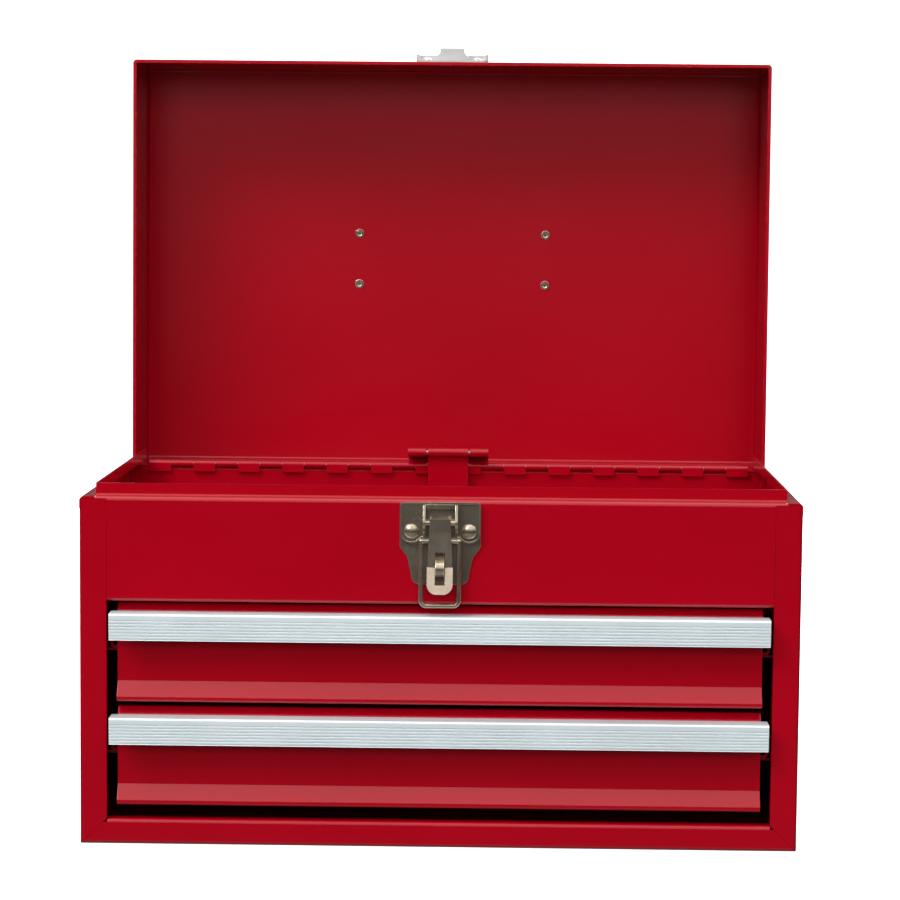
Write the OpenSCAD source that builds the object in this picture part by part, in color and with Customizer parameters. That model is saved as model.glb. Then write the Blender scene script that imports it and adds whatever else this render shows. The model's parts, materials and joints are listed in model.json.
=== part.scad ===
// Portable steel tool chest: lift-up lid, top compartment with a lift-out tray, two drawers.
// Millimetres. X to the right, Y to the back, Z up. Origin: middle of the footprint, on the floor.
// The lid is drawn shut by its modules and swung open by on_lid(), which is the rest pose.

/* [Cabinet] */
// Width over the side panels
body_w = 360; // [340:1:380]
// Depth over the front frame and the back
body_d = 230; // [216:1:240]
// Height of the shoulder that the lid sits on
shoulder_h = 175.5; // [172:0.5:180]
// Height of the upright rim above the shoulder
rim_h = 6.2; // [4:0.1:8]
// Width of the shoulder, from the outer face to the rim
rim_inset = 7.4; // [6:0.1:10]
// Thickness of the folded sheet steel
sheet = 1.0; // [0.8:0.1:1.2]
// Inside-to-middle radius of the sheet bends
bend_r = 1.6; // [1.2:0.1:2]
// Width of the front frame's side stiles
stile_w = 13.5; // [12:0.5:16]
// Height of the front frame's bottom rail
rail_h = 13; // [10:0.5:15]
// Height of the drawer opening's top edge
opening_top = 123; // [122:0.5:125]
// Height of the back panel's top edge
back_top = 170.3; // [168:0.1:170.5]

/* [Lid] */
// Height of the lid
lid_h = 73; // [65:1:80]
// Angle that the lid stands open at
lid_angle = 91.5; // [60:0.5:91.5]
// Height of the folded hem along the lid's free edges
hem_h = 6; // [4:0.5:8]

/* [Hinge] */
// Radius of the hinge knuckles
knuckle_r = 2.0; // [1.8:0.1:2.2]
// Radius of the hinge pin
pin_r = 0.95; // [0.8:0.05:1]
// Radial running clearance of pins in moving knuckles
pin_clear = 0.05; // [0.02:0.01:0.1]
// Number of hinge knuckles
knuckles = 27; // [21:2:31]
// Length of one knuckle with its gap
knuckle_pitch = 12.6; // [11:0.1:12.8]

/* [Drawers] */
// Height of a drawer front
drawer_h = 49.3; // [48:0.1:50]
// Underside of the lower drawer front
lower_z = 19.8; // [19:0.1:21]
// Underside of the upper drawer front
upper_z = 72.3; // [71.5:0.1:72.5]
// Width of a drawer front
drawer_w = 323; // [320:1:325]
// Width of the aluminium pull
pull_w = 329; // [325:1:331]
// Number of grooves in the pull
pull_grooves = 7; // [5:1:9]

/* [Tray] */
// Height of the tray's walls
tray_h = 30; // [24:1:31]
// Length of the tray
tray_w = 330; // [300:1:334]

/* [Handle] */
// Distance between the two handle brackets
handle_pitch = 109.2; // [100:0.1:120]
// Distance between a bracket's two rivets
handle_rivet_pitch = 29.5; // [26:0.5:32]
// Place of the handle's axis along the lid, from the middle
handle_y = -4.7; // [-8:0.1:4]

/* [Hidden] */
$fn = 48;

paint = [0.62, 0.02, 0.09];
nickel = [0.72, 0.70, 0.66];
zinc = [0.66, 0.68, 0.70];
alloy = [0.86, 0.87, 0.88];
chrome = [0.80, 0.80, 0.82];
black = [0.06, 0.06, 0.06];

// Cabinet, derived
half_w = body_w / 2;
half_d = body_d / 2;
front_y = -half_d;
rim_x = half_w - rim_inset;
rim_y = front_y + rim_inset;
rim_top = shoulder_h + rim_h;
opening_x = half_w - stile_w;
opening_lip = 7;
back_out = half_d - 1;
back_in = back_out - sheet;
floor_z = opening_top + sheet;
floor_top = floor_z + sheet;
seam = 0.15;

// Hinge, derived
axis_y = back_out + 0.8 - knuckle_r;
axis_z = 173.4;
leaf_t = 0.8;
hinge_x0 = -knuckles * knuckle_pitch / 2;

// Lid, derived, drawn shut
lid_z0 = shoulder_h + 0.2;
lid_z1 = lid_z0 + lid_h;

// Lock bar: its pivot on the shut lid, and the same pivot with the lid open
link_shut = [axis_y - 8.1, 165.9];
link_r = 2.6;
link_pin_r = 1.1;
link_half = 11.4;
ear_x0 = 12.3;
ear_x1 = 22.7;
link_open = swing(link_shut, -lid_angle);
bar_t = 1.2;
bar_y0 = link_open[0] + link_r - bar_t;
bar_stroke = link_open[1] - link_shut[1];
bar_bottom = 24;

// Drawers, derived
pan_half = 158;
pan_back = half_d - 17;
pan_wall = 37;
pan_t = 0.9;
notch_half = 14;
notch_z = 22;
face_y = front_y + 5;
runner_half = opening_x - 0.7;
rail_base = 24;
rail_h_in = 10.2;
rail_t = 1.2;

// Latch, derived: u is the distance out from the cabinet's front
latch_t = 1.2;
latch_rivet = [14.4, 160];
latch_bore = 1.6;
pivot_u = 4.8;
pivot_z = 164.4;
pivot_r = 1.25;
bail_u = 4.4;
bail_z = 155.3;
bail_leg_x = 9.5;
bail_r = 1.15;
bail_bottom_z = 123;
padlock_u = 9;
padlock_z = 142;
padlock_r = 2.1;
staple_half = 2.2;

// Handle, derived, on the shut lid
handle_rod_r = 3;
handle_axis_h = 7.6;
handle_arm = 32;
handle_arm_x = 67;
grip_r = 7;
grip_len = 106;

// ---- geometry helpers ----

// A point (y, z) turned about the hinge axis
function swing(p, a) =
    let (y = p[0] - axis_y, z = p[1] - axis_z)
    [axis_y + y * cos(a) - z * sin(a), axis_z + y * sin(a) + z * cos(a)];

function unit(v) = v / norm(v);

function arc(c, r, a0, a1, n) = [for (i = [0 : n]) let (a = a0 + (a1 - a0) * i / n) c + r * [cos(a),
    sin(a)]];

// One corner of a path, rounded to radius r
function corner(p0, p1, p2, r, n) =
    let (
        a = unit(p0 - p1),
        b = unit(p2 - p1),
        half = acos(a * b) / 2,
        c = p1 + unit(a + b) * r / sin(half),
        s = p1 + a * r / tan(half) - c,
        e = p1 + b * r / tan(half) - c,
        a0 = atan2(s[1], s[0]),
        turn = atan2(s[0] * e[1] - s[1] * e[0], s * e)
    )
    arc(c, r, a0, a0 + turn, n);

// A path with its inner corners rounded
function rounded(path, r, n = 5) = [
    path[0],
    for (i = [1 : len(path) - 2]) each corner(path[i - 1], path[i], path[i + 1], r, n),
    path[len(path) - 1]
];

// The left normal of a path at point i, long enough to keep a constant offset
function normal_at(path, i) =
    let (
        last = len(path) - 1,
        a = unit(path[min(i + 1, last)] - path[min(i, last - 1)]),
        b = unit(path[max(i, 1)] - path[max(i - 1, 0)]),
        na = [-a[1], a[0]],
        nb = [-b[1], b[0]],
        m = unit(na + nb)
    )
    m / (m * na);

// Outline of a sheet of thickness t folded along a middle line
function folded(path, t) = concat(
    [for (i = [0 : len(path) - 1]) path[i] + normal_at(path, i) * t / 2],
    [for (i = [len(path) - 1 : -1 : 0]) path[i] - normal_at(path, i) * t / 2]
);

function rounded_rect(x0, y0, x1, y1, r, n = 5) = concat(
    arc([x1 - r, y1 - r], r, 0, 90, n),
    arc([x0 + r, y1 - r], r, 90, 180, n),
    arc([x0 + r, y0 + r], r, 180, 270, n),
    arc([x1 - r, y0 + r], r, 270, 360, n)
);

// A (y, z) outline extruded along X
module along_x(x0, x1) {
    translate([x0, 0, 0]) rotate([90, 0, 90]) linear_extrude(x1 - x0) children();
}

// An (x, z) outline extruded along -Y to Y
module along_y(y0, y1) {
    translate([0, y1, 0]) rotate([90, 0, 0]) linear_extrude(y1 - y0) children();
}

module block(lo, hi) {
    translate(lo) cube(hi - lo);
}

// A block with every edge rounded by crossing three extruded outlines
module soft_block(lo, hi, r) {
    intersection() {
        along_x(lo[0], hi[0]) polygon(rounded_rect(lo[1], lo[2], hi[1], hi[2], r));
        along_y(lo[1], hi[1]) polygon(rounded_rect(lo[0], lo[2], hi[0], hi[2], r));
        translate([0, 0, lo[2]]) linear_extrude(hi[2] - lo[2])
            polygon(rounded_rect(lo[0], lo[1], hi[0], hi[1], r));
    }
}

module rod_x(x0, x1, y, z, r) {
    translate([x0, y, z]) rotate([0, 90, 0]) cylinder(h = x1 - x0, r = r);
}

// Moves what is drawn on the shut lid to the open lid
module on_lid() {
    translate([0, axis_y, axis_z]) rotate([-lid_angle, 0, 0]) translate([0, -axis_y, -axis_z]) children();
}

// A dome rivet with its head towards +Z and a formed tail below a gap
module rivet(head_r, head_h, shank_r, grip, tail_r = 0) {
    ball_r = (head_r * head_r + head_h * head_h) / (2 * head_h);
    intersection() {
        translate([0, 0, head_h - ball_r]) sphere(ball_r);
        cylinder(h = head_h, r = head_r);
    }
    translate([0, 0, -grip]) cylinder(h = grip, r = shank_r);
    if (tail_r > 0) {
        translate([0, 0, -grip - 1.2]) difference() {
            cylinder(h = 1.2, r = tail_r);
            translate([0, 0, -0.1]) cylinder(h = 0.9, r = tail_r * 0.55);
        }
    }
}

// ---- cabinet ----

// The (x, z) area on one side of the mitre line between stile and rail, the line moved out by shift:
// side -1 is the area towards the middle and the foot, side 1 the area outwards and up
module mitre_foot(shift, side) {
    run = stile_w / rail_h;
    low = [half_w + shift + run, -1];
    high = [opening_x + shift - run, rail_h + 1];
    polygon(side < 0 ? [low, high, [high[0], low[1]]] : [low, high, [low[0], high[1]]]);
}

module side_panel() {
    web = half_w - sheet / 2;
    face = front_y + sheet / 2;
    back_edge = half_d - 0.2;
    stile = rounded([[opening_x, face], [web, face], [web, back_edge]], bend_r);
    turned = rounded([[opening_x + sheet / 2, front_y + opening_lip], [opening_x + sheet / 2, face],
        [web - 3, face]], bend_r * 0.7);
    top = rounded([[web, shoulder_h - 6], [web, shoulder_h - sheet / 2],
        [rim_x - sheet / 2, shoulder_h - sheet / 2], [rim_x - sheet / 2, rim_top]], bend_r);
    difference() {
        union() {
            linear_extrude(shoulder_h - 6) polygon(folded(stile, sheet));
            translate([0, 0, shoulder_h - 6]) linear_extrude(4.8) polygon(folded(stile, sheet));
            translate([0, 0, rail_h + seam]) linear_extrude(opening_top - rail_h - 1)
                polygon(folded(turned, sheet));
            along_y(rim_y + sheet + seam, back_edge) polygon(folded(top, sheet));
            intersection() {
                along_y(front_y, rim_y + sheet + seam) polygon(folded(top, sheet));
                union() {
                    block([rim_x, front_y + sheet, shoulder_h - 8], [half_w, rim_y + 2, shoulder_h]);
                    block([web - 2.5, front_y, shoulder_h - 8], [half_w, rim_y + 2, shoulder_h]);
                }
            }
        }
        // mitre at the foot of the stile
        along_y(front_y - 1, front_y + sheet + 0.6) mitre_foot(seam / 2, -1);
        // clearance for the floor's front corner
        block([opening_x - 1, front_y + sheet, -1], [half_w - sheet, front_y + 12, 1]);
        // rear top corner, rounded about the hinge axis so that the lid's corner can pass
        along_x(rim_x - 2, half_w + 1) difference() {
            translate([axis_y, axis_z]) square(12);
            translate([axis_y, axis_z]) circle(shoulder_h - axis_z);
        }
    }
}

module left_side_panel() {
    color(paint) mirror([1, 0, 0]) side_panel();
}

module right_side_panel() {
    color(paint) side_panel();
}

module bottom_panel() {
    inner = half_w - sheet;
    path = rounded([[front_y + opening_lip, rail_h - sheet / 2], [front_y + sheet / 2, rail_h - sheet / 2],
        [front_y + sheet / 2, sheet / 2], [back_in - 0.5, sheet / 2], [back_in - 0.5, 12]], bend_r);
    color(paint) difference() {
        union() {
            along_x(-opening_x, opening_x) polygon(folded(path, sheet));
            intersection() {
                along_x(-half_w, half_w) polygon(folded(path, sheet));
                block([-half_w, front_y, 0], [half_w, front_y + sheet + 0.6, rail_h - 2]);
            }
            block([-inner, front_y + sheet + 0.6, 0], [inner, back_in - 4, sheet]);
            intersection() {
                along_x(-inner + 1.2, inner - 1.2) polygon(folded(path, sheet));
                block([-half_w, 0, 0], [half_w, half_d, rail_h]);
            }
        }
        for (s = [-1, 1]) scale([s, 1, 1])
            along_y(front_y - 1, front_y + sheet + 0.6) mitre_foot(-seam / 2, 1);
    }
}

module back_panel() {
    y = back_in + sheet / 2;
    x = half_w - sheet * 1.5;
    color(paint) translate([0, 0, sheet]) linear_extrude(back_top - sheet)
        polygon(folded(rounded([[-x, y - 12], [-x, y], [x, y], [x, y - 12]], bend_r), sheet));
}

module upper_front_panel() {
    face = front_y + sheet / 2;
    lower = rounded([[front_y + opening_lip, opening_top + sheet / 2], [face, opening_top + sheet / 2],
        [face, shoulder_h - 4]], bend_r);
    upper = rounded([[face, shoulder_h - 4], [face, shoulder_h - sheet / 2],
        [rim_y + sheet / 2, shoulder_h - sheet / 2], [rim_y + sheet / 2, rim_top]], bend_r);
    seam_x = opening_x - seam;
    color(paint) union() {
        along_x(-seam_x, seam_x) polygon(folded(lower, sheet));
        along_x(-seam_x, seam_x) polygon(folded(upper, sheet));
        intersection() {
            along_x(-rim_x + seam, rim_x - seam) polygon(folded(upper, sheet));
            block([-rim_x, front_y, shoulder_h - sheet], [rim_x, rim_y + 2, rim_top]);
        }
    }
}

module compartment_floor() {
    wall = half_w - sheet * 1.5;
    pan = rounded([[-wall, floor_z + 9], [-wall, floor_z + sheet / 2], [wall, floor_z + sheet / 2],
        [wall, floor_z + 9]], bend_r);
    slot_y0 = link_open[0] - 7;
    color(paint) difference() {
        union() {
            along_y(front_y + 15, half_d - 17) polygon(folded(pan, sheet));
            block([-opening_x, front_y + sheet + bend_r, floor_z], [opening_x, back_in, floor_top]);
            block([-half_w + 4, front_y + 13, floor_z], [half_w - 4, back_in - 3, floor_top]);
        }
        block([-link_half - 1.5, slot_y0, floor_z - 1], [link_half + 1.5, back_in - 3.5, floor_top + 1]);
    }
}

// ---- piano hinge and lock bar ----

module knuckle(i) {
    x0 = hinge_x0 + i * knuckle_pitch;
    rod_x(x0 + 0.15, x0 + knuckle_pitch - 0.15, axis_y, axis_z, knuckle_r);
}

module hinge_lower_leaf() {
    plate_x = half_w - sheet - 0.1;
    color(paint) difference() {
        union() {
            block([-plate_x, back_out, 156], [plate_x, back_out + leaf_t, axis_z - knuckle_r + 0.2]);
            for (i = [0 : 2 : knuckles - 1]) {
                x0 = hinge_x0 + i * knuckle_pitch + 0.15;
                knuckle(i);
                block([x0, back_out, 160], [x0 + knuckle_pitch - 0.3, back_out + leaf_t, axis_z]);
                block([x0, axis_y - knuckle_r, 169], [x0 + knuckle_pitch - 0.3, back_in - seam, axis_z]);
            }
        }
        rod_x(hinge_x0 - 1, -hinge_x0 + 1, axis_y, axis_z, pin_r);
    }
}

module hinge_upper_leaf() {
    color(paint) on_lid() difference() {
        union() {
            block([hinge_x0, back_out - leaf_t, axis_z + knuckle_r + 0.5], [-hinge_x0, back_out, 188]);
            for (i = [1 : 2 : knuckles - 1]) {
                x0 = hinge_x0 + i * knuckle_pitch + 0.15;
                knuckle(i);
                block([x0, back_out - leaf_t, axis_z + 1], [x0 + knuckle_pitch - 0.3, back_out, 180]);
            }
        }
        rod_x(hinge_x0 - 1, -hinge_x0 + 1, axis_y, axis_z, pin_r + pin_clear);
    }
}

module hinge_pin() {
    color(zinc) rod_x(hinge_x0, -hinge_x0, axis_y, axis_z, pin_r);
}

module lock_bracket() {
    y = link_shut[0] + link_r - bar_t / 2;
    wall = back_out - leaf_t - bar_t / 2;
    path = rounded([[y, link_shut[1]], [y, 179.6], [wall, 179.6], [wall, 191]], 1.4);
    color(paint) on_lid() difference() {
        union() {
            along_x(-ear_x1, ear_x1) polygon(folded(path, bar_t));
            for (s = [-1, 1]) rod_x(s > 0 ? ear_x0 : -ear_x1, s > 0 ? ear_x1 : -ear_x0, link_shut[0],
                link_shut[1], link_r);
        }
        rod_x(-30, 30, link_shut[0], link_shut[1], link_pin_r);
        block([-ear_x0, link_shut[0] - 8, 160], [ear_x0, link_shut[0] + 5, 171.5]);
        for (s = [-1, 1]) translate([s * 15, back_out, 186]) rotate([90, 0, 0]) cylinder(h = 5, r = 1.2);
    }
}

module lock_bracket_pin() {
    color(zinc) on_lid() rod_x(-ear_x1, ear_x1, link_shut[0], link_shut[1], link_pin_r);
}

module lock_bracket_rivets() {
    color(paint) on_lid() for (s = [-1, 1])
        translate([s * 15, back_out - leaf_t - bar_t, 186]) rotate([90, 0, 0])
            rivet(2.6, 1.2, 1.2, bar_t - 0.05);
}

module lock_hook(z) {
    block([-9, bar_y0 - 11, z + 5], [9, bar_y0 + 0.2, z + 6.2]);
    block([-9, bar_y0 - 11, z], [9, bar_y0 - 9.8, z + 5.2]);
}

module lock_bar() {
    color(paint) difference() {
        union() {
            rod_x(-link_half, link_half, link_open[0], link_open[1], link_r);
            block([-link_half, bar_y0, 150], [link_half, bar_y0 + bar_t, link_open[1]]);
            block([-9, bar_y0, bar_bottom], [9, bar_y0 + bar_t, 151]);
            for (z = [lower_z, upper_z]) lock_hook(z + notch_z + 1 + bar_stroke);
        }
        rod_x(-30, 30, link_open[0], link_open[1], link_pin_r + pin_clear);
    }
}

module lock_bar_guides() {
    y = link_open[0] - 6.2;
    path = rounded([[-18, back_in - 0.6], [-11.5, back_in - 0.6], [-11.5, y], [11.5, y],
        [11.5, back_in - 0.6], [18, back_in - 0.6]], 1.2, 4);
    color(paint) for (z = [32, 84]) translate([0, 0, z]) linear_extrude(6) polygon(folded(path, 1.2));
}

// ---- drawer slides ----

module rail(z) {
    inner = pan_half + rail_t + 1.4;
    wall = half_w - sheet - rail_t / 2;
    low = z + rail_base + rail_t / 2;
    high = low + rail_h_in + rail_t;
    path = rounded([[inner, low], [wall, low], [wall, high], [inner, high]], 1.2, 4);
    along_y(front_y + 15, half_d - 18) polygon(folded(path, rail_t));
}

module upper_left_rail() {
    color(paint) mirror([1, 0, 0]) rail(upper_z);
}

module upper_right_rail() {
    color(paint) rail(upper_z);
}

module lower_left_rail() {
    color(paint) mirror([1, 0, 0]) rail(lower_z);
}

module lower_right_rail() {
    color(paint) rail(lower_z);
}

module runners(z) {
    x = pan_half + rail_t / 2;
    tip = runner_half - rail_t / 2;
    low = z + rail_base + rail_t * 1.5 + 0.3;
    high = z + rail_base + rail_t + rail_h_in - 0.4;
    path = rounded([[x, high], [x, low], [tip, low], [tip, high]], 1.2, 4);
    color(paint) for (s = [-1, 1]) scale([s, 1, 1])
        along_y(front_y + 13, half_d - 23) polygon(folded(path, rail_t));
}

// ---- drawers ----

module drawer_front(z) {
    y = face_y + sheet / 2;
    path = rounded([[front_y + 10, z + sheet / 2], [front_y + 1.2, z + sheet / 2], [front_y + 1.2, z + 2.4],
        [y, z + 10], [y, z + 45.6], [y + 3, z + drawer_h - sheet / 2],
            [front_y + 14, z + drawer_h - sheet / 2]], 0.9, 4);
    w = drawer_w / 2;
    color(paint) union() {
        along_x(-w, w) polygon(folded(path, sheet));
        for (s = [-1, 1]) scale([s, 1, 1]) block([w - sheet, face_y + sheet / 2, z + 12],
            [w, face_y + 7, z + 44]);
    }
}

module drawer_pan(z) {
    y0 = face_y + sheet;
    color(paint) difference() {
        soft_block([-pan_half, y0, z + sheet], [pan_half, pan_back, z + sheet + 60], 2);
        soft_block([-pan_half + pan_t, y0 + pan_t, z + sheet + pan_t],
            [pan_half - pan_t, pan_back - pan_t, z + 70], 1.2);
        block([-200, -200, z + pan_wall], [200, 200, z + 80]);
        block([-notch_half, pan_back - 4, z + notch_z], [notch_half, pan_back + 4, z + 80]);
    }
}

// Extruded pull: ribbed front wall, rounded top lip, web and mounting flange
module drawer_pull(z) {
    front = front_y - 8;
    pitch = 11 / pull_grooves;
    ribs = [for (i = [0 : pull_grooves - 1]) each [
        [front + 0.08 * i, z + 43.2 - i * pitch],
        [front + 0.08 * i, z + 43.2 - i * pitch - pitch * 0.62],
        [front + 0.5 + 0.08 * i, z + 43.2 - i * pitch - pitch * 0.72],
        [front + 0.5 + 0.08 * i, z + 43.2 - i * pitch - pitch * 0.9]
    ]];
    lip = arc([front + 1.2, z + 44.3], 1.2, 90, 180, 5);
    outline = concat(
        [[face_y, z + 45.5]], lip, ribs,
        [[front + 0.7, z + 32], [front + 2.2, z + 31.8], [front + 2.2, z + 43.9],
        [face_y - 1.5, z + 43.9], [face_y - 1.5, z + 35], [face_y, z + 35]]
    );
    color(alloy) along_x(-pull_w / 2, pull_w / 2) polygon(outline);
}

module upper_drawer_front() drawer_front(upper_z);
module upper_drawer_pan() drawer_pan(upper_z);
module upper_drawer_pull() drawer_pull(upper_z);
module upper_drawer_runners() runners(upper_z);
module lower_drawer_front() drawer_front(lower_z);
module lower_drawer_pan() drawer_pan(lower_z);
module lower_drawer_pull() drawer_pull(lower_z);
module lower_drawer_runners() runners(lower_z);

// ---- lid ----

module lid_pan() {
    hem = half_w - sheet;
    hem_y = half_d - sheet;
    color(paint) on_lid() union() {
        difference() {
            soft_block([-half_w, front_y, lid_z0 - 10], [half_w, half_d, lid_z1], bend_r + sheet / 2);
            soft_block([-half_w + sheet, front_y + sheet, lid_z0 - 20],
                [half_w - sheet, half_d - sheet, lid_z1 - sheet], bend_r);
            block([-200, -200, lid_z0 - 30], [200, 200, lid_z0]);
        }
        difference() {
            block([-hem, front_y + sheet, lid_z0], [hem, hem_y - 4, lid_z0 + hem_h]);
            block([-hem + 0.9, front_y + sheet + 0.9, lid_z0 - 1], [hem - 0.9, half_d, lid_z0 + hem_h + 1]);
            translate([0, 0, lid_z0 - 1]) linear_extrude(hem_h + 2) difference() {
                square(2 * half_w + 10, center = true);
                polygon(rounded_rect(-hem, front_y + sheet, hem, hem_y, bend_r));
            }
        }
    }
}

// ---- latch ----

// A latch outline given as half of a symmetric (x, z) shape
function mirrored(half) = concat(half, [for (i = [len(half) - 1 : -1 : 0]) [-half[i][0], half[i][1]]]);

module latch_plate(outline, u0, u1) {
    along_y(front_y - u1, front_y - u0) polygon(outline);
}

module latch_base_plate() {
    half = concat(
        arc([18.1, 172.5], 2, 90, 0, 5),
        [[20.1, 152], [16.3, 147], [14.3, 138]],
        arc([10.3, 137.4], 4, 0, -90, 6)
    );
    color(nickel) difference() {
        latch_plate(mirrored(half), 0, latch_t);
        for (s = [-1, 1]) translate([s * latch_rivet[0], front_y + 1, latch_rivet[1]])
            rotate([90, 0, 0]) cylinder(h = 4, r = latch_bore);
    }
}

// Two wings with rolled edges, scalloped about the rivets, joined over the lever and carrying the ears
module latch_bracket() {
    wing = concat(
        [[7.6, 156.5]],
        arc(latch_rivet, 6, 215, 325, 10),
        [[20.1, 158]],
        arc([18.3, 172.7], 1.8, 0, 90, 5),
        [[7.6, 174.5]]
    );
    ear = concat([[latch_t, 173], [pivot_u + 0.6, 173]], arc([pivot_u, pivot_z], 3.2, 30, -90, 8),
        [[2.9, 159.5], [2.9, 154.6], [latch_t, 154]]);
    color(nickel) union() {
        for (s = [-1, 1]) scale([s, 1, 1]) difference() {
            union() {
                latch_plate(wing, latch_t, 2 * latch_t);
                along_y(front_y - 2.9, front_y - 2.3) difference() {
                    polygon(wing);
                    offset(delta = -0.8) polygon(wing);
                }
                along_x(7.4, 8.6) polygon([for (p = ear) [front_y - p[0], p[1]]]);
            }
            rod_x(0, 20, front_y - pivot_u, pivot_z, pivot_r);
            translate([latch_rivet[0], front_y + 1, latch_rivet[1]]) rotate([90, 0, 0])
                cylinder(h = 5, r = latch_bore);
        }
        block([-7.8, front_y - 2.9, 171.4], [7.8, front_y - latch_t, 173.4]);
    }
}

module latch_pin() {
    color(nickel) rod_x(-8.6, 8.6, front_y - pivot_u, pivot_z, pivot_r);
}

// Lug that stands through the lever's slot, with the padlock's hole across it
module latch_staple() {
    outline = concat([[latch_t, padlock_z - 4]], arc([padlock_u, padlock_z], 4, -90, 64, 10),
        [[latch_t, padlock_z + 7.6]]);
    color(nickel) difference() {
        along_x(-staple_half, staple_half) polygon([for (p = outline) [front_y - p[0], p[1]]]);
        rod_x(-5, 5, front_y - padlock_u, padlock_z, padlock_r);
    }
}

module latch_rivets() {
    color(nickel) for (s = [-1, 1]) translate([s * latch_rivet[0], front_y - 2 * latch_t, latch_rivet[1]])
        rotate([90, 0, 0]) rivet(3.9, 2.1, latch_bore, 2 * latch_t);
}

// Lever that widens downwards and ends in a bent-out finger lip
module latch_lever() {
    path = rounded([[6.9, 166.6], [6.9, 160], [5.7, 142.4], [11.2, 129.3]], 1.6, 4);
    cheek = concat([[bail_u - 1.9, bail_z - 2.6], [bail_u - 1.9, bail_z + 3]],
        arc([pivot_u, pivot_z], 2.8, 200, 90, 6), [[6.4, pivot_z + 2.8], [6.4, bail_z - 2.6]]);
    face = concat([[5.2, 168], [5.4, 160], [5.9, 152], [6.1, 143.2], [6.4, 142.2]],
        arc([1.6, 134.3], 4.8, 0, -90, 8));
    color(nickel) difference() {
        intersection() {
            union() {
                along_x(-7, 7) polygon([for (p = folded(path, latch_t)) [front_y - p[0], p[1]]]);
                for (s = [-1, 1]) scale([s, 1, 1]) along_x(4.2, 7)
                    polygon([for (p = cheek) [front_y - p[0], p[1]]]);
            }
            along_y(front_y - 14, front_y) polygon(mirrored(face));
        }
        block([-2.5, front_y - 14, 133.9], [2.5, front_y, 149.9]);
        rod_x(-10, 10, front_y - pivot_u, pivot_z, pivot_r + pin_clear);
        rod_x(-10, 10, front_y - bail_u, bail_z, bail_r + pin_clear);
    }
}

module latch_bail() {
    r = 3;
    y = front_y - bail_u;
    color(nickel) union() {
        for (s = [-1, 1]) scale([s, 1, 1]) {
            rod_x(4.4, bail_leg_x, y, bail_z, bail_r);
            translate([bail_leg_x, y, bail_z]) sphere(bail_r);
            translate([bail_leg_x, y, bail_bottom_z + r])
                cylinder(h = bail_z - bail_bottom_z - r, r = bail_r);
            translate([bail_leg_x - r, y, bail_bottom_z + r]) rotate([90, 0, 0]) rotate([0, 0, -90])
                rotate_extrude(angle = 90) translate([r, 0]) circle(bail_r);
        }
        rod_x(-bail_leg_x + r, bail_leg_x - r, y, bail_bottom_z, bail_r);
    }
}

// ---- lid catch and handle ----

// Plate with a turned-out flange round its ends and top, and a hook in the middle that widens at its root
module lid_catch() {
    y = front_y - 0.6;
    base = lid_z0 + 2.2;
    hook = rounded([[y, base + 12], [y, base + 4.6], [y - 8.1, base + 4.6], [y - 8.5, base + 8.4]], 1.2, 4);
    root = concat([[6.55, 12], [6.55, 7.6]], arc([9.8, 6.6], 3, 175, 250, 6), [[9.4, 0]]);
    plate = mirrored(concat([[7, base]], arc([16.7, base + 3.4], 3.4, -90, 0, 5),
        arc([16.7, base + 7.4], 3.4, 0, 90, 5), [[7, base + 10.8]]));
    color(chrome) on_lid() difference() {
        union() {
            along_y(front_y - 1.2, front_y) polygon(plate);
            along_y(front_y - 4.4, front_y) difference() {
                polygon(plate);
                offset(delta = -1) polygon(plate);
                translate([-8.9, base - 1]) square([17.8, 14]);
                translate([-30, base - 1]) square([60, 3]);
            }
            intersection() {
                along_x(-10, 10) polygon(folded(hook, 1.2));
                translate([0, 0, base]) linear_extrude(12)
                    polygon([for (p = mirrored(root)) [p[0], front_y - p[1]]]);
            }
        }
        for (s = [-1, 1]) translate([s * 14, front_y + 1, base + 5.4]) rotate([90, 0, 0])
            cylinder(h = 4, r = 1.5);
    }
}

module lid_catch_rivets() {
    color(nickel) on_lid() for (s = [-1, 1])
        translate([s * 14, front_y - 1.2, lid_z0 + 7.6]) rotate([90, 0, 0]) rivet(3, 1.6, 1.5, 1.2);
}

module handle_bracket(s) {
    x = s * handle_pitch / 2;
    h = handle_axis_h;
    bore = handle_rod_r + pin_clear;
    arch_r = bore + 1.7;
    color(chrome) on_lid() translate([x, handle_y, lid_z1]) difference() {
        union() {
            linear_extrude(1.4) polygon(rounded_rect(-8, -20.5, 8, 20.5, 3));
            rod_x(-7, 7, 0, h, arch_r);
            block([-7, -arch_r, 0], [7, arch_r, h]);
        }
        rod_x(-9, 9, 0, h, bore);
        block([-9, -bore, 1.4], [9, bore, h]);
        for (t = [-1, 1]) translate([0, t * handle_rivet_pitch / 2, -1]) cylinder(h = 4, r = 1.6);
    }
}

module handle_bracket_left() handle_bracket(-1);
module handle_bracket_right() handle_bracket(1);

module handle_rivets() {
    color(nickel) on_lid() for (s = [-1, 1]) for (t = [-1, 1])
        translate([s * handle_pitch / 2, handle_y + t * handle_rivet_pitch / 2, lid_z1 + 1.4]) {
            rivet(3.2, 1.5, 1.6, 1.4);
        }
    color(nickel) on_lid() for (s = [-1, 1]) for (t = [-1, 1])
        translate([s * handle_pitch / 2, handle_y + t * handle_rivet_pitch / 2, lid_z1 - sheet - 1])
            difference() {
            cylinder(h = 1, r = 2.6);
            translate([0, 0, -0.2]) cylinder(h = 0.9, r = 1.3);
        }
}

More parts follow.
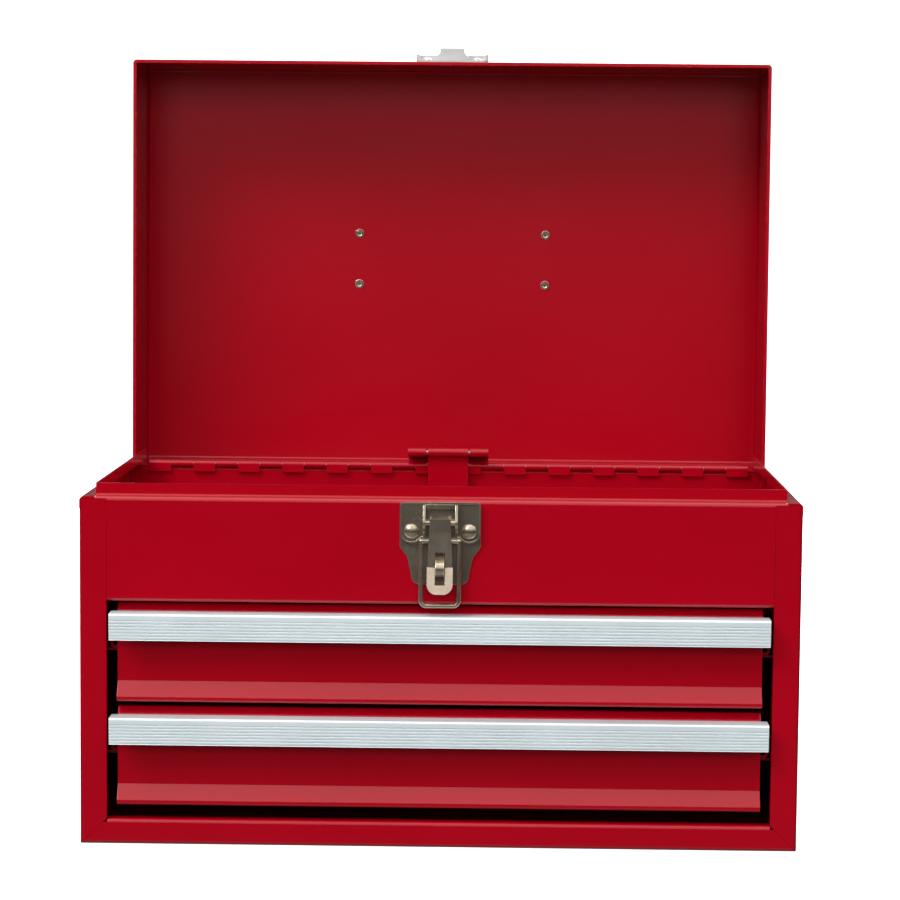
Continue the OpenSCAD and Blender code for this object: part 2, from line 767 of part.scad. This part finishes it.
module handle_bail() {
    r = 9;
    z = lid_z1 + handle_axis_h;
    far = handle_y + handle_arm;
    inner = handle_pitch / 2 - 8;
    color(chrome) on_lid() union() {
        for (s = [-1, 1]) scale([s, 1, 1]) {
            rod_x(inner, handle_arm_x - handle_rod_r - 1, handle_y, z, handle_rod_r);
            translate([handle_arm_x - 4, handle_y + 4, z]) rotate([0, 0, -90])
                rotate_extrude(angle = 90) translate([4, 0]) circle(handle_rod_r);
            translate([handle_arm_x, handle_y + 4, z]) rotate([-90, 0, 0])
                cylinder(h = handle_arm - r - 4, r = handle_rod_r);
            translate([handle_arm_x - r, far - r, z]) rotate_extrude(angle = 90) translate([r, 0])
                circle(handle_rod_r);
        }
        rod_x(-handle_arm_x + r, handle_arm_x - r, far, z, handle_rod_r);
    }
}

// Moulded sleeve with shallow rings, in one turned outline
module handle_grip() {
    rings = 9;
    half = grip_len / 2;
    bore = handle_rod_r + 0.03;
    side = concat(
        [[grip_r - 2, -half], [grip_r, -half + 2]],
        [for (i = [1 : rings]) let (c = -half + i * grip_len / (rings + 1)) each
            [[grip_r, c - 2], [grip_r - 0.7, c - 1], [grip_r - 0.7, c + 1], [grip_r, c + 2]]],
        [[grip_r, half - 2], [grip_r - 2, half]]
    );
    color(black) on_lid() translate([0, handle_y + handle_arm, lid_z1 + handle_axis_h]) rotate([0, 90, 0])
        rotate_extrude() polygon(concat([[bore, -half]], side, [[bore, half]]));
}

// ---- tray ----

module tray_pan() {
    z = floor_top + 0.2;
    hx = tray_w / 2;
    y0 = front_y + 15;
    y1 = half_d - 21;
    t = 0.9;
    color(paint) union() {
        difference() {
            soft_block([-hx, y0, z], [hx, y1, z + tray_h + 20], 2.4);
            soft_block([-hx + t, y0 + t, z + t], [hx - t, y1 - t, z + tray_h + 30], 1.6);
            block([-200, -200, z + tray_h], [200, 200, z + 80]);
        }
        difference() {
            translate([0, 0, z + tray_h - 4]) linear_extrude(4)
                polygon(rounded_rect(-hx + t, y0 + t, hx - t, y1 - t, 1.6));
            translate([0, 0, z + tray_h - 5]) linear_extrude(6)
                polygon(rounded_rect(-hx + 2 * t, y0 + 2 * t, hx - 2 * t, y1 - 2 * t, 1));
        }
    }
}

// Long divider that rises to a carrying grip with a hand hole
module tray_divider() {
    z = floor_top + 0.2 + 0.9;
    hx = tray_w / 2 - 2.8;
    top = z + tray_h - 2;
    crown = 168;
    half = concat([[hx, z], [hx, top]], [[78, top]], arc([62, crown - 10], 10, 45, 90, 4));
    color(paint) difference() {
        along_y(-3.6, -2.4) polygon(mirrored(half));
        along_y(-5, 0) polygon(rounded_rect(-45, crown - 20, 45, crown - 7, 6, 6));
    }
}

left_side_panel();
right_side_panel();
bottom_panel();
back_panel();
upper_front_panel();
compartment_floor();
hinge_lower_leaf();
hinge_pin();
lock_bar_guides();
upper_left_rail();
upper_right_rail();
lower_left_rail();
lower_right_rail();
latch_base_plate();
latch_bracket();
latch_pin();
latch_staple();
latch_rivets();
latch_lever();
latch_bail();
lid_pan();
hinge_upper_leaf();
lock_bracket();
lock_bracket_pin();
lock_bracket_rivets();
lid_catch();
lid_catch_rivets();
handle_bracket_left();
handle_bracket_right();
handle_rivets();
handle_bail();
handle_grip();
lock_bar();
upper_drawer_front();
upper_drawer_pan();
upper_drawer_pull();
upper_drawer_runners();
lower_drawer_front();
lower_drawer_pan();
lower_drawer_pull();
lower_drawer_runners();
tray_pan();
tray_divider();
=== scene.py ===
"""Portable red tool chest: finished surfaces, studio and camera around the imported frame. Metres, Z up."""
import json
import math

import bmesh
import bpy
from mathutils import Matrix, Vector


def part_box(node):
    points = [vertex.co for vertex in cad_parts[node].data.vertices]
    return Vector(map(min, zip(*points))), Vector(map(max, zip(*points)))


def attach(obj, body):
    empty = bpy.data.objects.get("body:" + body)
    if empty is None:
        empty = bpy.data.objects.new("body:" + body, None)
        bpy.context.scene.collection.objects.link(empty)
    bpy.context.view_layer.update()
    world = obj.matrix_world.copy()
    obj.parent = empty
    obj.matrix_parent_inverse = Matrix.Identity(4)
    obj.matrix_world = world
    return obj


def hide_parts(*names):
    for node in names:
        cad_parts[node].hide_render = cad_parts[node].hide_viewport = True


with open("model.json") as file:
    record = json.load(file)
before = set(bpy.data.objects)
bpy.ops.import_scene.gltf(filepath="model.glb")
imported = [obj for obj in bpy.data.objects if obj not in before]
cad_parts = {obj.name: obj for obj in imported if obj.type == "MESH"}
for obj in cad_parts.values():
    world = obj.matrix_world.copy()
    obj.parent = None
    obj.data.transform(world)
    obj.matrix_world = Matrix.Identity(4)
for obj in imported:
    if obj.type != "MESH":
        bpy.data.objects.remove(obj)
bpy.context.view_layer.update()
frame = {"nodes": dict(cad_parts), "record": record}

MM = 0.001
NODES = frame["nodes"]
RECORD = frame["record"]
SLOT_OF = {part["node"]: part["material_slot"] for part in RECORD["subparts"]}
BODY_OF = {node: body for body, members in RECORD["behaviour"]["bodies"].items() for node in members}

# The attribute that is 1 on a finished piece's rounded edges, where paint and plating wear
WEAR = "edge"


# ---------------------------------------------------------------- node trees

class Surface:
    """One material's node tree, with a short call for each kind of node."""

    def __init__(self, name):
        self.material = bpy.data.materials.new(name)
        self.material.use_nodes = True
        self.nodes = self.material.node_tree.nodes
        self.links = self.material.node_tree.links
        self.nodes.clear()
        out = self.nodes.new("ShaderNodeOutputMaterial")
        self.shader = self.nodes.new("ShaderNodeBsdfPrincipled")
        self.links.new(self.shader.outputs[0], out.inputs["Surface"])
        self.place = self.nodes.new("ShaderNodeTexCoord").outputs["Object"]

    def put(self, socket, value):
        """Links a socket to another node's output, or sets it to a plain value."""
        if isinstance(value, bpy.types.NodeSocket):
            self.links.new(value, socket)
        else:
            socket.default_value = value

    def const(self, **sockets):
        """Values that are the same all over, set on the shader's own sockets."""
        for key, value in sockets.items():
            self.shader.inputs[key.replace("_", " ")].default_value = value

    def stretched(self, x, y, z):
        node = self.nodes.new("ShaderNodeMapping")
        self.put(node.inputs["Vector"], self.place)
        node.inputs["Scale"].default_value = (x, y, z)
        return node.outputs[0]

    def noise(self, scale, detail=2.0, rough=0.5, where=None):
        node = self.nodes.new("ShaderNodeTexNoise")
        self.put(node.inputs["Vector"], where or self.place)
        node.inputs["Scale"].default_value = scale
        node.inputs["Detail"].default_value = detail
        node.inputs["Roughness"].default_value = rough
        return node.outputs["Fac"]

    def specks(self, scale):
        node = self.nodes.new("ShaderNodeTexVoronoi")
        self.put(node.inputs["Vector"], self.place)
        node.inputs["Scale"].default_value = scale
        return node.outputs["Distance"]

    def worn_edges(self):
        node = self.nodes.new("ShaderNodeAttribute")
        node.attribute_name = WEAR
        return node.outputs["Fac"]

    def span(self, value, low, high, to_low=0.0, to_high=1.0):
        """Stretches low..high to to_low..to_high, and holds what lies outside at the ends."""
        node = self.nodes.new("ShaderNodeMapRange")
        node.clamp = True
        self.put(node.inputs["Value"], value)
        self.put(node.inputs["From Min"], low)
        self.put(node.inputs["From Max"], high)
        self.put(node.inputs["To Min"], to_low)
        self.put(node.inputs["To Max"], to_high)
        return node.outputs[0]

    def arithmetic(self, kind, first, second):
        node = self.nodes.new("ShaderNodeMath")
        node.operation = kind
        self.put(node.inputs[0], first)
        self.put(node.inputs[1], second)
        return node.outputs[0]

    def times(self, first, second):
        return self.arithmetic("MULTIPLY", first, second)

    def plus(self, first, second):
        return self.arithmetic("ADD", first, second)

    def mix(self, share, first, second):
        """Blends two colours; each is a socket or three plain numbers."""
        node = self.nodes.new("ShaderNodeMix")
        node.data_type = "RGBA"
        self.put(node.inputs["Factor"], share)
        for socket, color in ((node.inputs[6], first), (node.inputs[7], second)):
            self.put(socket, color if isinstance(color, bpy.types.NodeSocket) else (*color, 1.0))
        return node.outputs[2]

    def bump(self, height, distance, strength, under=None):
        """A relief of the given depth, over another one where there is one under it."""
        node = self.nodes.new("ShaderNodeBump")
        node.inputs["Strength"].default_value = strength
        node.inputs["Distance"].default_value = distance
        self.put(node.inputs["Height"], height)
        if under is not None:
            self.put(node.inputs["Normal"], under)
        return node.outputs[0]

    def finish(self, color, rough, normal=None):
        self.put(self.shader.inputs["Base Color"], color)
        self.put(self.shader.inputs["Roughness"], rough)
        if normal is not None:
            self.put(self.shader.inputs["Normal"], normal)
        return self.material


# ---------------------------------------------------------------- materials

PAINT_DEEP = (0.325, 0.0001, 0.0068)
PAINT_LIGHT = (0.362, 0.0001, 0.0086)
PAINT_RUBBED = (0.46, 0.03, 0.035)
PAINT_DUSTY = (0.42, 0.08, 0.08)

ALLOY_DARK = (0.70, 0.78, 0.81)
ALLOY_LIGHT = (0.77, 0.85, 0.88)
ALLOY_RUBBED = (0.93, 0.96, 0.97)

GRIP_NEW = (0.012, 0.012, 0.013)
GRIP_WORN = (0.030, 0.030, 0.032)
GRIP_RUBBED = (0.07, 0.07, 0.072)

# How much brighter plating is on a rubbed edge than on its lightest face
PLATE_EDGE_GAIN = 1.9


def red_paint():
    """Glossy enamel: slow drift of tone, rubbed edges, a little dust, wavy sheet and orange peel."""
    paint = Surface("red_paint")
    paint.const(Coat_Weight=0.25, Coat_Roughness=0.05, Specular_IOR_Level=0.4)

    drift = paint.span(paint.noise(7.0, detail=3.0), 0.3, 0.7)
    color = paint.mix(drift, PAINT_DEEP, PAINT_LIGHT)

    patches = paint.span(paint.noise(260.0, detail=4.0, rough=0.65), 0.42, 0.62)
    rubbed = paint.times(paint.worn_edges(), patches)
    color = paint.mix(paint.times(rubbed, 0.35), color, PAINT_RUBBED)

    grains = paint.span(paint.specks(300.0), 0.07, 0.03)
    dusty_places = paint.span(paint.noise(30.0), 0.58, 0.66, 0.0, 0.06)
    color = paint.mix(paint.times(grains, dusty_places), color, PAINT_DUSTY)

    wiped = paint.noise(16.0, detail=5.0, rough=0.6, where=paint.stretched(1.0, 1.0, 3.0))
    rough = paint.plus(paint.span(wiped, 0.2, 0.8, 0.15, 0.20), paint.times(rubbed, 0.12))

    sheet_wave = paint.bump(paint.noise(9.0, detail=1.0), 1.0 * MM, 0.25)
    orange_peel = paint.bump(paint.noise(1050.0), 0.05 * MM, 0.35, under=sheet_wave)
    return paint.finish(color, rough, orange_peel)


def pull_alloy():
    """Satin extruded aluminium with drawing lines along X."""
    alloy = Surface("pull_alloy")
    alloy.const(Metallic=0.35)

    cloud = alloy.span(alloy.noise(30.0, detail=3.0), 0.3, 0.7)
    color = alloy.mix(cloud, ALLOY_DARK, ALLOY_LIGHT)
    color = alloy.mix(alloy.times(alloy.worn_edges(), 0.4), color, ALLOY_RUBBED)

    lines = alloy.noise(1.0, rough=0.6, where=alloy.stretched(4.0, 4200.0, 4200.0))
    rough = alloy.span(lines, 0.3, 0.7, 0.34, 0.44)
    return alloy.finish(color, rough, alloy.bump(lines, 0.03 * MM, 0.25))


def plated(name, dark, light, metal, rough_low, rough_high, marks_across=220.0):
    """Plated steel: soft smudges, fine polishing marks, brighter rubbed edges."""
    plate = Surface(name)
    plate.const(Metallic=metal)

    smudges = plate.span(plate.noise(70.0, detail=4.0, rough=0.6), 0.3, 0.7)
    color = plate.mix(smudges, dark, light)
    rubbed = tuple(min(1.0, channel * PLATE_EDGE_GAIN) for channel in light)
    color = plate.mix(plate.times(plate.worn_edges(), 0.75), color, rubbed)

    along_marks = plate.stretched(marks_across * 8, marks_across, marks_across * 0.6)
    marks = plate.noise(1.0, detail=3.0, rough=0.7, where=along_marks)
    handled = plate.span(plate.noise(55.0, detail=3.0), 0.35, 0.65, rough_low, rough_high)
    rough = plate.plus(handled, plate.span(marks, 0.4, 0.8, 0.0, 0.08))
    return plate.finish(color, rough, plate.bump(marks, 0.03 * MM, 0.35))


def nickel_plate():
    """Warm grey nickel, polished."""
    return plated("nickel_plate", dark=(0.40, 0.33, 0.25), light=(0.58, 0.49, 0.38),
                  metal=0.88, rough_low=0.14, rough_high=0.26)


def zinc_plate():
    """Cool zinc, duller and with coarser marks."""
    return plated("zinc_plate", dark=(0.46, 0.48, 0.50), light=(0.66, 0.67, 0.68),
                  metal=0.85, rough_low=0.24, rough_high=0.42, marks_across=120.0)


def chrome_plate():
    """Bright chrome with a keen gloss; its matt white share, beside the metal, is a painted reflection of
    bright surroundings.
    """
    # Metal at 0.55 leaves the rest matt white: a painted reflection, not a colour the chrome has
    return plated("chrome_plate", dark=(0.80, 0.80, 0.80), light=(0.88, 0.88, 0.87),
                  metal=0.55, rough_low=0.08, rough_high=0.18)


def grip_plastic():
    """Moulded black plastic with a fine grain, greyer and rougher in worn patches."""
    plastic = Surface("grip_plastic")
    worn = plastic.span(plastic.noise(60.0, detail=3.0), 0.45, 0.7)
    color = plastic.mix(worn, GRIP_NEW, GRIP_WORN)
    color = plastic.mix(plastic.times(plastic.worn_edges(), 0.5), color, GRIP_RUBBED)

    rough = plastic.span(worn, 0.0, 1.0, 0.42, 0.58)
    grain = plastic.bump(plastic.noise(1500.0), 0.12 * MM, 0.6)
    return plastic.finish(color, rough, grain)


def pale_floor():
    """Matt white with a glow of its own, so that it stays pale away from the lamps."""
    floor = Surface("pale_floor")
    floor.const(Emission_Strength=0.9, Emission_Color=(1.0, 1.0, 1.0, 1.0), Specular_IOR_Level=0.1)
    tone = floor.span(floor.noise(1.3), 0.3, 0.7)
    light = (0.86, 0.86, 0.86)
    return floor.finish(floor.mix(tone, light, tuple(channel * 0.985 for channel in light)), 0.85)


MATERIALS = {
    "red_paint": red_paint(),
    "pull_alloy": pull_alloy(),
    "nickel_plate": nickel_plate(),
    "zinc_plate": zinc_plate(),
    "chrome_plate": chrome_plate(),
    "grip_plastic": grip_plastic(),
}


# ---------------------------------------------------------------- finished pieces from the CAD nodes

# Edges that turn by more than this are rounded; any that still do afterwards are creases in the shading
SHARP = math.radians(32)
# Neighbouring faces within this angle are joined into one
FLAT = math.radians(0.4)
# Points closer than this are one point
WELD = 0.002 * MM
ROUND_SEGMENTS = 2
# Above 50, a larger face counts for more in the normals at its corners
LARGE_FACE_WEIGHT = 80

# How far from each sharp edge its rounding starts
ROUND_WIDTH = {
    "red_paint": 0.22 * MM,
    "pull_alloy": 0.10 * MM,
    "nickel_plate": 0.30 * MM,
    "zinc_plate": 0.15 * MM,
    "chrome_plate": 0.25 * MM,
    "grip_plastic": 0.25 * MM,
}


def rounded_mesh(node, width):
    """A copy of a CAD node's mesh: flat faces joined, sharp edges rounded, bends shaded smooth.
    The roundings carry the attribute that the materials wear by."""
    copy = NODES[node].data.copy()
    bm = bmesh.new()
    bm.from_mesh(copy)
    bpy.data.meshes.remove(copy)
    bmesh.ops.remove_doubles(bm, verts=bm.verts, dist=WELD)
    bmesh.ops.dissolve_limit(bm, angle_limit=FLAT, verts=bm.verts, edges=bm.edges)
    bm.normal_update()

    sharp = [edge for edge in bm.edges if edge.is_manifold and edge.calc_face_angle(0.0) > SHARP]
    rounding = bmesh.ops.bevel(
        bm, geom=sharp, affect="EDGES", offset=width, offset_type="OFFSET",
        segments=ROUND_SEGMENTS, profile=0.5, clamp_overlap=True, harden_normals=False)
    wear = bm.loops.layers.float.new(WEAR)
    for face in rounding["faces"]:
        for corner in face.loops:
            corner[wear] = 1.0

    bmesh.ops.recalc_face_normals(bm, faces=bm.faces)
    for face in bm.faces:
        face.smooth = True
    bm.normal_update()
    for edge in bm.edges:
        edge.smooth = not edge.is_manifold or edge.calc_face_angle(0.0) < SHARP
    mesh = bpy.data.meshes.new(node + "_finished")
    bm.to_mesh(mesh)
    bm.free()
    return mesh


def finished_piece(node):
    """The visible piece that stands for a CAD node, on the same body and in the same slot."""
    mesh = rounded_mesh(node, ROUND_WIDTH[SLOT_OF[node]])
    mesh.materials.append(MATERIALS[SLOT_OF[node]])
    piece = bpy.data.objects.new(node + "_finished", mesh)
    bpy.context.scene.collection.objects.link(piece)
    weighted = piece.modifiers.new("weighted", "WEIGHTED_NORMAL")
    weighted.keep_sharp = True
    weighted.weight = LARGE_FACE_WEIGHT
    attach(piece, BODY_OF[node])
    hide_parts(node)


for cad_node in sorted(NODES):
    finished_piece(cad_node)


# ---------------------------------------------------------------- floor

FLOOR_FLAT = 4.2
FLOOR_BEND = 1.6
FLOOR_WALL_TOP = 4.5
FLOOR_SIDES = 96
FLOOR_BEND_STEPS = 12
# How far the floor lies below the chest, so that their faces don't meet
FLOOR_DROP = 0.3 * MM
# How far the floor reaches in under the chest's edges
FLOOR_LAP = 10 * MM


def floor_profile():
    """Radius and height of each ring outside the hole: flat, then a quarter bend up to a wall."""
    rings = [(radius, -FLOOR_DROP) for radius in (0.6, 1.5, 3.0, FLOOR_FLAT)]
    for step in range(1, FLOOR_BEND_STEPS + 1):
        turn = math.pi / 2 * step / FLOOR_BEND_STEPS
        rings.append((FLOOR_FLAT + FLOOR_BEND * math.sin(turn), FLOOR_BEND * (1 - math.cos(turn))))
    rings.append((FLOOR_FLAT + FLOOR_BEND, FLOOR_WALL_TOP))
    return rings


def studio_floor():
    """A flat disc that rises far away into a round wall, so that the pale floor has no horizon.
    It has a hole under the chest, which hides it from above, so that the chest's underside can be seen."""
    side_low, side_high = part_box("left_side_panel")
    hole_x = -side_low.x - FLOOR_LAP
    hole_y = side_high.y - FLOOR_LAP
    angles = [2 * math.pi * side / FLOOR_SIDES for side in range(FLOOR_SIDES)]
    directions = [(math.cos(angle), math.sin(angle)) for angle in angles]
    verts = []
    for x, y in directions:
        reach = min(hole_x / max(abs(x), 1e-6), hole_y / max(abs(y), 1e-6))
        verts.append((reach * x, reach * y, -FLOOR_DROP))
    rings = floor_profile()
    for radius, height in rings:
        verts += [(radius * x, radius * y, height) for x, y in directions]
    faces = []
    for ring in range(len(rings)):
        inner = ring * FLOOR_SIDES
        outer = inner + FLOOR_SIDES
        for side in range(FLOOR_SIDES):
            after = (side + 1) % FLOOR_SIDES
            faces.append((inner + side, outer + side, outer + after, inner + after))

    mesh = bpy.data.meshes.new("floor")
    mesh.from_pydata(verts, [], faces)
    mesh.polygons.foreach_set("use_smooth", [True] * len(faces))
    mesh.materials.append(pale_floor())
    floor = bpy.data.objects.new("floor", mesh)
    bpy.context.scene.collection.objects.link(floor)
    floor.visible_glossy = False
    floor.visible_diffuse = False


studio_floor()


# ---------------------------------------------------------------- light

LAMPS_AIM = Vector((0.0, 0.0, 0.2))
# Name, place, width and height, power, and whether the gloss shows it
LAMPS = (
    ("key", (-1.3, -1.3, 2.0), (1.2, 1.0), 44.0, True),
    ("front", (0.0, -2.6, 0.9), (2.0, 1.0), 32.0, False),
    ("top", (-0.1, -0.2, 2.4), (2.4, 1.6), 10.0, True),
    ("rear", (0.3, 2.0, 1.5), (1.8, 1.0), 40.0, True),
)

# How bright the room is, by the sine of the height that it is seen at, from straight down to straight up
ROOM_LEVELS = (
    (-1.0, 0.25), (-0.50, 0.21), (-0.28, 0.07), (-0.10, 0.012),
    (0.09, 0.012), (0.40, 0.50), (0.60, 0.95), (1.0, 0.72),
)
ROOM_STRENGTH = 1.4


def soft_box(name, place, size, power, shows_in_gloss):
    data = bpy.data.lights.new(name, "AREA")
    data.shape = "RECTANGLE"
    data.size, data.size_y = size
    data.energy = power
    lamp = bpy.data.objects.new(name, data)
    lamp.location = place
    lamp.rotation_euler = (LAMPS_AIM - Vector(place)).to_track_quat("-Z", "Y").to_euler()
    lamp.visible_glossy = shows_in_gloss
    bpy.context.scene.collection.objects.link(lamp)


def grey(level):
    return (level, level, level, 1.0)


def studio_room():
    """What lies round the lamps: bright above, dimmer below and dark at eye level."""
    world = bpy.data.worlds.new("studio")
    world.use_nodes = True
    nodes = world.node_tree.nodes
    links = world.node_tree.links
    place = nodes.new("ShaderNodeTexCoord")
    split = nodes.new("ShaderNodeSeparateXYZ")
    links.new(place.outputs["Generated"], split.inputs[0])
    height = nodes.new("ShaderNodeMapRange")
    height.inputs["From Min"].default_value = -1.0
    links.new(split.outputs["Z"], height.inputs["Value"])
    ramp = nodes.new("ShaderNodeValToRGB")
    links.new(height.outputs[0], ramp.inputs[0])
    stops = ramp.color_ramp.elements
    stops[0].color = grey(ROOM_LEVELS[0][1])
    stops[1].color = grey(ROOM_LEVELS[-1][1])
    for sine, level in ROOM_LEVELS[1:-1]:
        stops.new((sine + 1) / 2).color = grey(level)
    links.new(ramp.outputs[0], nodes["Background"].inputs["Color"])
    nodes["Background"].inputs["Strength"].default_value = ROOM_STRENGTH
    bpy.context.scene.world = world


for lamp_settings in LAMPS:
    soft_box(*lamp_settings)
studio_room()
bpy.context.scene.view_settings.view_transform = "Standard"


# ---------------------------------------------------------------- camera

CAMERA_PLACE = Vector((0.02835, -1.6758, 0.3232))
# Turn to the right, tilt down and lean to the left, from a level look along +Y
CAMERA_YAW = math.radians(-0.864)
CAMERA_PITCH = math.radians(6.129)
CAMERA_ROLL = math.radians(0.528)
# Millimetres, as Blender counts them
CAMERA_LENS = 126.3
CAMERA_SENSOR = 36.0
# Share of the frame that the picture is moved by
CAMERA_SHIFT = 0.1


def photo_camera():
    forward = Vector((
        math.sin(CAMERA_YAW) * math.cos(CAMERA_PITCH),
        math.cos(CAMERA_YAW) * math.cos(CAMERA_PITCH),
        -math.sin(CAMERA_PITCH)))
    level = forward.cross(Vector((0, 0, 1))).normalized()
    upright = level.cross(forward)
    right = level * math.cos(CAMERA_ROLL) + upright * math.sin(CAMERA_ROLL)
    up = right.cross(forward)
    data = bpy.data.cameras.new("camera")
    data.lens = CAMERA_LENS
    data.sensor_width = CAMERA_SENSOR
    data.shift_y = CAMERA_SHIFT
    data.clip_start = 0.05
    data.clip_end = 50.0
    camera = bpy.data.objects.new("camera", data)
    turn = Matrix((right, up, -forward)).transposed().to_4x4()
    camera.matrix_world = Matrix.Translation(CAMERA_PLACE) @ turn
    bpy.context.scene.collection.objects.link(camera)
    bpy.context.scene.camera = camera


photo_camera()
